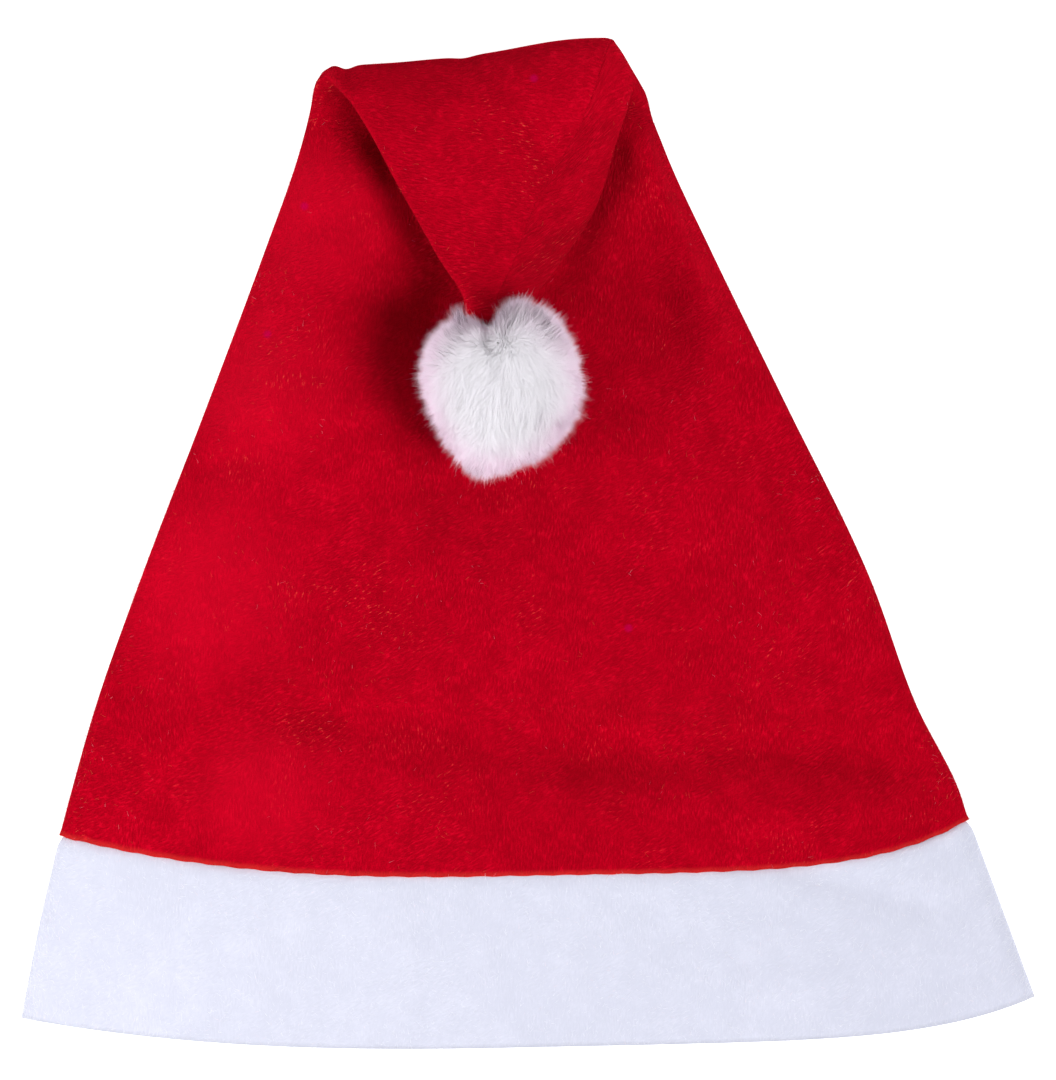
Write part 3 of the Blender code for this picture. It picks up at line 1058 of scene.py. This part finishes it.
@dataclass
class Band:
    """The white strip of felt round the mouth, with its upper edge tucked under the crown's lip."""

    flat: tuple[float, float] = (0.300, 0.058)
    area: float = 0.0155
    row_step: float = 0.0019
    columns: int = 170
    half_mouth: float = 0.145
    folds: tuple[Fold, ...] = (
        Fold((0.0780, -0.0940), (0.1150, -0.1040), 0.0045, -0.0012),
        Fold((0.0980, -0.1330), (0.1350, -0.1200), 0.0040, -0.0008),
        Fold((-0.0280, -0.0980), (-0.0285, -0.1400), 0.0050, -0.0004),
        Fold((-0.1120, -0.1050), (-0.0900, -0.1000), 0.0080, 0.0006),
        Fold((0.0600, -0.1280), (0.0850, -0.1260), 0.0080, 0.0006),
    )

    def sections(self) -> tuple[Section, ...]:
        """Returns the band's loops from the mouth to the seam with the crown."""
        rise = EDGE_RISE
        return (
            Section((-self.half_mouth, -0.1364, rise), (self.half_mouth, -0.1303, rise),
                    sag=0.0110, front=0.0145),
            Section((-0.1400, -0.1105, rise), (0.1355, -0.1045, rise), sag=0.0123, front=0.0155),
            Section((-0.1337, -0.0829, rise), (0.1257, -0.0782, rise), sag=0.0134, front=0.0150),
        )

    def build(self, finish: bpy.types.Material) -> dict[Side, Surface]:
        """Makes both panels.

        Args:
            finish: The white felt.

        Returns:
            Their outer faces.
        """
        front = FeltPanel(
            "band_front",
            Loops(self.sections(), self.row_step, self.columns, folds=self.folds),
            Side.FRONT,
            flat=self.flat,
            area=self.area,
            held=Held.LAID,
            rests_on=("band_back",),
            slot=Slot.WHITE_FELT,
            seed=11.0,
            seam_reach=0.0022,
            upper_roll=0.0016,
            swell=0.00014,
            swell_spacing=0.020,
            ripple=0.00006,
            ripple_spacing=0.0055,
        )
        back = replace(front, name="band_back", side=Side.BACK, rests_on=("floor",), seed=14.0)
        return {Side.FRONT: front.build(finish), Side.BACK: back.build(finish)}


@dataclass
class Fuzz:
    """Stray fibres that lie on a felt panel or stand off it a little.

    The fibres follow a nap that wanders over the cloth, and the rarer tints gather in patches.
    """

    name: str
    surface: Surface
    side: Side
    slot: Slot
    count: int
    seed: int
    tints: tuple[Colour, ...]
    shares: tuple[float, ...]
    length: tuple[float, float] = (0.0007, 0.0021)
    width: tuple[float, float] = (0.00004, 0.00008)
    lift: tuple[float, float] = (0.02, 0.35)
    root_depth: float = 0.00005
    nap_spacing: float = 0.035
    nap_turn: float = 1.3
    unruly: float = 0.55
    curl: float = 0.35
    patch_spacing: float = 0.030
    patch_strength: float = 6.0
    patch_limits: tuple[float, float] = (0.02, 5.0)
    patch_seed: float = 40.0
    shades: tuple[float, float] = (0.85, 1.1)

    def build(self, finish: bpy.types.Material) -> bpy.types.Object:
        """Makes the fibres.

        Args:
            finish: The fibres' material.

        Returns:
            The piece.
        """
        chance = np.random.default_rng(self.seed)
        tall, wide = self.surface.places.shape[:2]
        across = np.linalg.norm(np.diff(self.surface.places[:, [0, -1]], axis=1)[:, 0], axis=1)
        rows = np.arange(tall) * (tall - 1) / tall
        row = np.interp(chance.random(self.count), np.cumsum(across) / across.sum(), rows)
        column = chance.random(self.count) * (wide - 1)
        root = self.surface.sample(row, column, self.surface.places)
        off = self.surface.sample(row, column, self.surface.normals() * self.side.value)
        off /= np.linalg.norm(off, axis=1, keepdims=True)
        cloth = self.surface.sample(row, column, self.surface.cloth)
        way = self.nap_ways(chance, cloth, off)
        spines = self.spines(chance, root, off, way)
        tint = self.tint(chance, cloth)
        widths = chance.uniform(*self.width, self.count)
        made = blades(self.name, spines, widths, np.cross(off, way), tint, finish)
        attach(made, "root")
        log.info("%s: %d fibres", self.name, self.count)
        return made

    def nap_ways(self, chance: np.random.Generator, cloth: np.ndarray, off: np.ndarray) -> np.ndarray:
        """Gives the way that each fibre lies.

        Args:
            chance: The source of chance.
            cloth: The fibres' places on the cloth.
            off: The way off the cloth at each fibre.

        Returns:
            One unit direction for each fibre.
        """
        nap = np.array([noise.noise(Vector((*(place / self.nap_spacing), self.seed))) for place in cloth])
        angle = math.pi * (0.5 + self.nap_turn * nap) + chance.normal(0.0, self.unruly, self.count)
        across = unit(np.cross(off, np.array([0.0, 1.0, 0.0])))
        return across * np.cos(angle)[:, None] + np.cross(across, off) * np.sin(angle)[:, None]

    def spines(self, chance: np.random.Generator, root: np.ndarray, off: np.ndarray,
               way: np.ndarray) -> np.ndarray:
        """Bends each fibre a little and lifts its tip.

        Args:
            chance: The source of chance.
            root: Where each fibre starts.
            off: The way off the cloth at each fibre.
            way: The way that each fibre lies.

        Returns:
            Three places along each fibre, none of them below the surface that the hat lies on.
        """
        length = chance.uniform(*self.length, self.count)[:, None]
        lift = chance.uniform(*self.lift, self.count)[:, None] * off
        curl = np.cross(off, way) * chance.normal(0.0, self.curl, self.count)[:, None]
        middle = root + (way * 0.5 + lift * 0.8 + curl * 0.2) * length
        tip = root + (way + lift + curl * 0.8) * length
        spines = np.stack([root - off * self.root_depth, middle, tip], axis=1)
        spines[..., 2] = np.maximum(spines[..., 2], 0.0)
        return spines

    def tint(self, chance: np.random.Generator, cloth: np.ndarray) -> np.ndarray:
        """Picks each fibre's colour.

        Args:
            chance: The source of chance.
            cloth: The fibres' places on the cloth.

        Returns:
            One colour for each fibre.
        """
        level = self.patch_seed + self.seed
        patches = np.array([noise.noise(Vector((*(place / self.patch_spacing), level))) for place in cloth])
        likely = np.array(self.shares)[None, :] * np.ones((self.count, 1))
        likely[:, 1:] *= np.clip(1 + self.patch_strength * patches, *self.patch_limits)[:, None]
        limits = np.cumsum(likely / likely.sum(axis=1, keepdims=True), axis=1)
        pick = (chance.random(self.count)[:, None] > limits).sum(axis=1).clip(0, len(self.tints) - 1)
        return np.array(self.tints)[pick] * chance.uniform(*self.shades, self.count)[:, None]


@dataclass(frozen=True)
class Lobe:
    """A swelling or a notch of the pompom, in degrees round from +X, seen from above."""

    bearing: float
    half_width: float
    height: float


@dataclass(frozen=True)
class Tuft:
    """A lock of longer strands that stands out of the pompom.

    bearing and height give where it grows, in degrees round from +X and above the level.
    spread is how wide its roots lie, as a share of the pompom's radius, and lean is the way
    that its tips reach.
    """

    bearing: float
    height: float
    spread: float
    strands: int
    length: float
    lean: Place
    gather: float


@dataclass
class Pompom:
    """A heart-shaped ball of dense short fur on the tip.

    Its backing is a ball with lobes, flattened below. The strands are combed away from the
    parting, swirled and ruffled by seeded noise, lie nearly flat on top and stand out at the sides, and lean
    a little towards the clumps' heads. The lilac is the red felt's light in the outer fur.
    """

    centre: Place = (-0.0075, 0.0438, 0.0364)
    radii: Place = (0.0180, 0.0180, 0.0172)
    flattened: float = 0.85
    lobes: tuple[Lobe, ...] = (
        Lobe(-105, 16, 0.16),
        Lobe(-155, 26, -0.09),
        Lobe(-45, 26, -0.05),
        Lobe(62, 24, 0.16),
        Lobe(80, 9, 0.06),
        Lobe(100, 9, -0.36),
        Lobe(134, 15, 0.07),
        Lobe(155, 16, 0.07),
    )
    tufts: tuple[Tuft, ...] = (
        Tuft(123, 16, 0.05, 420, 0.0105, (-0.30, 0.95, 0.40), 0.40),
        Tuft(131, 26, 0.09, 420, 0.0085, (-0.60, 0.75, 0.40), 0.30),
        Tuft(142, 32, 0.14, 500, 0.0075, (-0.80, 0.45, 0.40), 0.25),
        Tuft(152, 22, 0.16, 260, 0.0078, (-0.98, 0.12, 0.20), 0.20),
        Tuft(158, 20, 0.10, 14, 0.0110, (-0.95, 0.05, 0.15), 0.10),
        Tuft(86, 22, 0.09, 500, 0.0085, (-0.10, 0.95, 0.45), 0.35),
        Tuft(76, 30, 0.09, 600, 0.0090, (0.25, 0.90, 0.45), 0.45),
        Tuft(64, 24, 0.09, 600, 0.0090, (0.50, 0.80, 0.40), 0.45),
        Tuft(52, 28, 0.10, 560, 0.0085, (0.75, 0.55, 0.40), 0.40),
        Tuft(38, 20, 0.12, 400, 0.0072, (0.90, 0.30, 0.30), 0.35),
        Tuft(-4, 12, 0.10, 260, 0.0068, (1.00, 0.05, 0.05), 0.35),
        Tuft(-26, 14, 0.10, 300, 0.0070, (0.90, -0.40, 0.05), 0.35),
        Tuft(-62, 10, 0.10, 300, 0.0070, (0.50, -0.85, 0.05), 0.35),
        Tuft(-86, 10, 0.10, 300, 0.0072, (0.05, -0.98, 0.05), 0.35),
        Tuft(-108, 10, 0.10, 340, 0.0074, (-0.30, -0.95, 0.05), 0.35),
        Tuft(-150, 12, 0.10, 260, 0.0068, (-0.85, -0.50, 0.05), 0.35),
        Tuft(178, 12, 0.12, 260, 0.0068, (-1.00, 0.05, 0.05), 0.30),
    )
    strand_pieces: int = 3
    strands_in_piece: int = 56000
    strand_length: float = 0.0064
    strand_width: tuple[float, float] = (0.00006, 0.00013)
    length_spread: tuple[float, float] = (0.50, 1.08)
    length_swell: float = 0.36
    long_share: float = 0.04
    long_factor: float = 1.3
    root_depth: float = 0.0006
    bend_on_top: float = 76.0
    bend_at_side: float = 16.0
    bend_spread: tuple[float, float] = (0.65, 1.15)
    top_heights: tuple[float, float] = (0.15, 0.95)
    parting: Place = (-0.04, 0.62, 0.52)
    gloss_spread: float = 0.22
    swirl: tuple[float, float] = (2.2, 0.55)
    ruffle: tuple[float, float] = (7.5, 0.45)
    swirl_seed: int = 5
    stray: float = 0.26
    white: Colour = (0.980, 0.960, 1.000)
    lilac: Colour = (1.000, 0.760, 0.930)
    lilac_from: tuple[float, float] = (0.12, 0.80)
    gloss_upper: Place = (1.0, 0.3, 1.0)
    gloss_lower: Place = (1.0, 0.6, 1.0)
    gloss_lift: Place = (0.0, 0.0, 0.25)
    clumps: int = 1500
    clump_pull: float = 0.15
    clump_reach: float = 0.6
    lean_spread: float = 0.22
    seed: int = 31

    def reach(self, directions: np.ndarray) -> np.ndarray:
        """Returns how far the backing stands out in each direction, as a share of its radii."""
        bearing = np.degrees(np.arctan2(directions[:, 1], directions[:, 0]))
        level = np.hypot(directions[:, 0], directions[:, 1])
        reach = np.ones(len(directions))
        for lobe in self.lobes:
            away = (bearing - lobe.bearing + 180) % 360 - 180
            reach += lobe.height * np.exp(-((away / lobe.half_width) ** 2)) * level**2
        return reach

    def backing(self, directions: np.ndarray) -> np.ndarray:
        """Returns the backing's places in these directions from its centre."""
        places = directions * self.reach(directions)[:, None] * np.array(self.radii)
        places[:, 2] *= np.where(places[:, 2] < 0, self.flattened, 1.0)
        return places + np.array(self.centre)

    def outward(self, directions: np.ndarray) -> np.ndarray:
        """Returns the ways off the ball in these directions from its centre."""
        return unit(directions / np.array(self.radii))

    def core(self, finish: bpy.types.Material) -> bpy.types.Object:
        """Makes the backing.

        Args:
            finish: The backing's material.

        Returns:
            The piece.
        """
        ball = bmesh.new()
        bmesh.ops.create_icosphere(ball, subdivisions=6, radius=1.0)
        mesh = bpy.data.meshes.new("pompom_core")
        ball.to_mesh(mesh)
        ball.free()
        directions = unit(starting_places(mesh))
        bumps = np.array([noise.fractal(Vector(way * 6.0), 1.0, 2.0, 3) for way in directions])
        bend_to(mesh, self.backing(directions) + directions * (bumps * 0.0005)[:, None])
        mesh.shade_smooth()
        mesh.materials.append(finish)
        mesh.update()
        made = stand(mesh)
        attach(made, "root")
        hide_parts("pompom")
        log.info("pompom_core: %d faces", len(mesh.polygons))
        return made

    def pile(self, chance: np.random.Generator, count: int) -> tuple[np.ndarray, np.ndarray, np.ndarray]:
        """Grows strands all over the ball, each bent over to one side.

        Args:
            chance: The source of chance.
            count: How many strands there are.

        Returns:
            Each strand's three places, the way across it and the way off the ball at its root.
        """
        noise.seed_set(self.swirl_seed)
        shared = np.random.default_rng(self.seed)
        heads = unit(shared.normal(size=(self.clumps, 3)))
        ways = unit(chance.normal(size=(count, 3)))
        nearest = np.concatenate([np.argmax(part @ heads.T, axis=1) for part in np.array_split(ways, 32)])
        root, off = self.backing(ways), self.outward(ways)
        uneven = np.array([noise.noise(Vector(way * 9.0)) for way in ways])
        length = self.strand_length * (1 + self.length_swell * uneven)
        length *= chance.uniform(*self.length_spread, count)
        length *= np.where(chance.random(count) < self.long_share, self.long_factor, 1.0)
        length = length[:, None]
        comb = unit(ways - np.array(self.parting)) + self.stray * chance.normal(size=(count, 3))
        for spacing, strength in (self.swirl, self.ruffle):
            comb += strength * np.array([noise.noise_vector(Vector(way * spacing)) for way in ways])
        aside = unit(comb - off * np.sum(comb * off, axis=1, keepdims=True))
        top = smoothstep(*self.top_heights, ways[:, 2])
        bend = np.radians(self.bend_at_side + (self.bend_on_top - self.bend_at_side) * top)
        bend = (bend * chance.uniform(*self.bend_spread, count))[:, None]
        tip = root + (off * np.cos(bend) + aside * np.sin(bend)) * length
        reach = self.strand_length * self.clump_reach
        gather = self.backing(heads)[nearest] + self.outward(heads)[nearest] * reach
        pull = self.clump_pull * chance.uniform(0.3, 1.2, count)[:, None]
        tip = tip + (gather + aside * reach - tip) * pull
        middle = root + (off * np.cos(bend / 2) + aside * np.sin(bend / 2)) * length / 2
        spines = np.stack([root - off * self.root_depth, middle, tip], axis=1)
        return spines, unit(np.cross(aside, off)), off

    def locks(self, chance: np.random.Generator) -> tuple[np.ndarray, np.ndarray, np.ndarray]:
        """Grows the longer tufts.

        Args:
            chance: The source of chance.

        Returns:
            Each strand's three places, the way across it and the way off the ball at its root.
        """
        spines, facing, off_all = [], [], []
        for tuft in self.tufts:
            head = np.array(heading(tuft.bearing, tuft.height))
            ways = unit(head + chance.normal(size=(tuft.strands, 3)) * tuft.spread)
            root, off = self.backing(ways), self.outward(ways)
            length = tuft.length * chance.uniform(0.55, 1.05, tuft.strands)[:, None]
            lean = unit(np.array(tuft.lean) + chance.normal(size=(tuft.strands, 3)) * self.lean_spread)
            target = self.backing(head[None, :]) + np.array(tuft.lean) * tuft.length
            tip = root + unit(off * 0.35 + lean) * length
            tip = tip + (target - tip) * tuft.gather * chance.uniform(0.3, 1.0, tuft.strands)[:, None]
            middle = root + unit(off * 1.1 + lean * 0.7) * length * 0.5
            spines.append(np.stack([root - off * self.root_depth, middle, tip], axis=1))
            facing.append(unit(np.cross(lean, off + chance.normal(size=(tuft.strands, 3)) * 0.4)))
            off_all.append(off)
        return np.concatenate(spines), np.concatenate(facing), np.concatenate(off_all)

    def strands(self, number: int, finish: bpy.types.Material) -> bpy.types.Object:
        """Makes one share of the fur.

        Args:
            number: Which share it is.
            finish: The fur's material.

        Returns:
            The piece.
        """
        chance = np.random.default_rng(self.seed + number)
        grown = self.pile(chance, self.strands_in_piece)
        if number == 1:
            locks = self.locks(chance)
            kept = self.strands_in_piece - len(locks[0])
            grown = tuple(np.concatenate([part[:kept], lock]) for part, lock in zip(grown, locks))
        spines, facing, off = grown
        count = len(spines)
        white, lilac = np.array(self.white), np.array(self.lilac)
        # Painted reflected light: lilac from the red felt, stronger towards the sides of the ball.
        tint = white + (lilac - white) * smoothstep(*self.lilac_from, 1 - off[:, 2:3])
        tint = tint * chance.uniform(0.96, 1.0, count)[:, None]
        widths = chance.uniform(*self.strand_width, count)
        turned_up = off * np.where(off[:, 1:2] > 0, self.gloss_upper, self.gloss_lower) + self.gloss_lift
        lit_from = unit(turned_up + self.gloss_spread * chance.normal(size=(count, 3)))
        made = blades(f"pompom_fur_{number}", spines, widths, facing, tint, finish, lit_from)
        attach(made, "root")
        log.info("%s: %d strands", made.name, count)
        return made

    def build(self, core_finish: bpy.types.Material, fur_finish: bpy.types.Material) -> None:
        """Makes the backing and its fur.

        Args:
            core_finish: The backing's material.
            fur_finish: The strands' material.
        """
        self.core(core_finish)
        for number in range(1, self.strand_pieces + 1):
            self.strands(number, fur_finish)


@dataclass(frozen=True)
class Lamp:
    """A soft round lamp: where it is, in degrees and metres, its power in watts and its width."""

    name: str
    bearing: float
    height: float
    power: float
    distance: float
    size: float


@dataclass
class Studio:
    """The floor, the soft lights and the camera straight above."""

    frame_height: float = 0.3101
    middle_y: float = 0.0007
    distance: float = 4.0
    sensor: float = 36.0
    sight: float = 60.0
    floor_reach: float = 14.0
    lamps: tuple[Lamp, ...] = (
        Lamp("right_lamp", 336.0, 55.0, 61.0, 2.6, 1.2),
        Lamp("left_lamp", 195.0, 31.0, 9.2, 1.1, 0.55),
        Lamp("back_lamp", 90.0, 32.0, 6.0, 1.9, 0.9),
    )
    fill_colour: Colour = (0.97, 0.98, 1.0)
    fill_strength: float = 0.08

    def floor(self) -> bpy.types.Object:
        """Returns the pale floor under the hat."""
        slab = bmesh.new()
        bmesh.ops.create_grid(slab, x_segments=4, y_segments=4, size=self.floor_reach)
        mesh = bpy.data.meshes.new("floor")
        slab.to_mesh(mesh)
        slab.free()
        mesh.materials.append(PaleFinish().material())
        made = stand(mesh)
        return made

    def lights(self) -> None:
        """Adds the soft lamps and the faint even fill."""
        for wanted in self.lamps:
            lamp = bpy.data.lights.new(wanted.name, "AREA")
            lamp.shape = "DISK"
            lamp.size = wanted.size
            lamp.energy = wanted.power
            way = Vector(heading(wanted.bearing, wanted.height))
            made = bpy.data.objects.new(wanted.name, lamp)
            made.location = way * wanted.distance
            made.rotation_mode = "QUATERNION"
            made.rotation_quaternion = way.to_track_quat("Z", "Y")
            bpy.context.scene.collection.objects.link(made)
        world = bpy.data.worlds.new("soft_fill")
        world.use_nodes = True
        ground = world.node_tree.nodes["Background"]
        ground.inputs["Color"].default_value = (*self.fill_colour, 1.0)
        ground.inputs["Strength"].default_value = self.fill_strength
        bpy.context.scene.world = world

    def camera(self) -> None:
        """Adds the camera that looks straight down."""
        lens = bpy.data.cameras.new("camera")
        lens.sensor_fit = "VERTICAL"
        lens.sensor_width = self.sensor
        lens.sensor_height = self.sensor
        lens.lens = self.sensor * self.distance / self.frame_height
        lens.clip_end = self.sight
        made = bpy.data.objects.new("camera", lens)
        made.location = (0.0, self.middle_y, self.distance)
        bpy.context.scene.collection.objects.link(made)
        bpy.context.scene.camera = made

    def build(self) -> None:
        """Makes the whole studio."""
        self.floor()
        self.lights()
        self.camera()
        bpy.context.scene.view_settings.view_transform = "Standard"
        log.info("studio: camera %.1f m above", self.distance)


RED_FELT = FeltFinish(
    "red_felt_brushed",
    deep=(0.36, 0.0, 0.008),
    middle=(0.52, 0.0, 0.0125),
    # edge: painted sheen colour of the rolled seam edges
    pale=(0.66, 0.002, 0.020),
    edge=(0.62, 0.020, 0.020),
    lint=(0.72, 0.09, 0.05),
    lint_share=0.6,
    sheen=0.015,
    sheen_tint=(1.0, 0.45, 0.5),
    relief_depth=0.0005,
    # Painted highlight patches along the left side, which is lit brighter.
    painted_highlights=((-0.060, 0.092, 0.020), (-0.077, 0.045, 0.024), (-0.092, -0.012, 0.026), (-0.076, -0.072, 0.018)),
    stains=((-0.0640, 0.0963), (0.0017, 0.1325), (-0.0746, 0.0596), (0.0287, -0.0245)),
)
RED_FELT_BACK = replace(RED_FELT, name="red_felt_brushed_across", nap=(84.0, 104.0), painted_highlights=())
WHITE_FELT = FeltFinish(
    "white_felt_brushed",
    deep=(0.600, 0.612, 0.725),
    middle=(0.675, 0.684, 0.800),
    pale=(0.735, 0.740, 0.835),
    # edge: painted sheen colour of the rolled seam edges
    edge=(0.84, 0.74, 0.80),
    lint=(0.86, 0.72, 0.82),
    lint_share=0.3,
    sheen=0.1,
    sheen_tint=(0.9, 0.93, 1.0),
    relief_depth=0.00022,
    streaks=0.3,
)


RED_FIBRES = FibreFinish("red_fibres", 0.9, 0.0, (0.40, 0.0, 0.01))
WHITE_FIBRES = FibreFinish("white_fibres", 0.9, 0.0, (0.80, 0.82, 0.90))
FUR = FibreFinish("fur_strands", 0.75, 0.35, (0.97, 0.94, 0.99))
FUR_BACKING = CoreFinish("fur_backing", (0.94, 0.93, 0.96), (0.86, 0.82, 0.88))

RED_TINTS = ((0.52, 0.001, 0.013), (0.74, 0.09, 0.05), (0.74, 0.20, 0.25))
RED_SHARES = (0.94, 0.045, 0.015)
WHITE_TINTS = ((0.86, 0.87, 0.92), (0.88, 0.74, 0.80))
WHITE_SHARES = (0.95, 0.05)


def fuzz_pieces(crown: dict[Side, Surface], band: dict[Side, Surface]) -> list[Fuzz]:
    """Returns the loose fibres of every panel.

    Args:
        crown: The crown's outer faces.
        band: The band's outer faces.

    Returns:
        The four lots of fibres, the crown's first.
    """
    front, back = Side.FRONT, Side.BACK
    red, white = (RED_TINTS, RED_SHARES), (WHITE_TINTS, WHITE_SHARES)
    return [
        Fuzz("crown_front_fuzz", crown[front], front, Slot.RED_FELT, 16000, 51, *red),
        Fuzz("crown_back_fuzz", crown[back], back, Slot.RED_FELT, 12000, 52, *red),
        Fuzz("band_front_fuzz", band[front], front, Slot.WHITE_FELT, 7000, 53, *white),
        Fuzz("band_back_fuzz", band[back], back, Slot.WHITE_FELT, 4000, 54, *white),
    ]


def main() -> None:
    """Builds the hat and its studio."""
    logging.basicConfig(level=logging.INFO)
    Studio().build()
    crown = Crown().build(RED_FELT.material(), RED_FELT_BACK.material())
    band = Band().build(WHITE_FELT.material())
    finishes = {Slot.RED_FELT: RED_FIBRES.material(), Slot.WHITE_FELT: WHITE_FIBRES.material()}
    for fuzz in fuzz_pieces(crown, band):
        fuzz.build(finishes[fuzz.slot])
    Pompom().build(FUR_BACKING.material(), FUR.material())


if __name__ == "__main__":
    main()
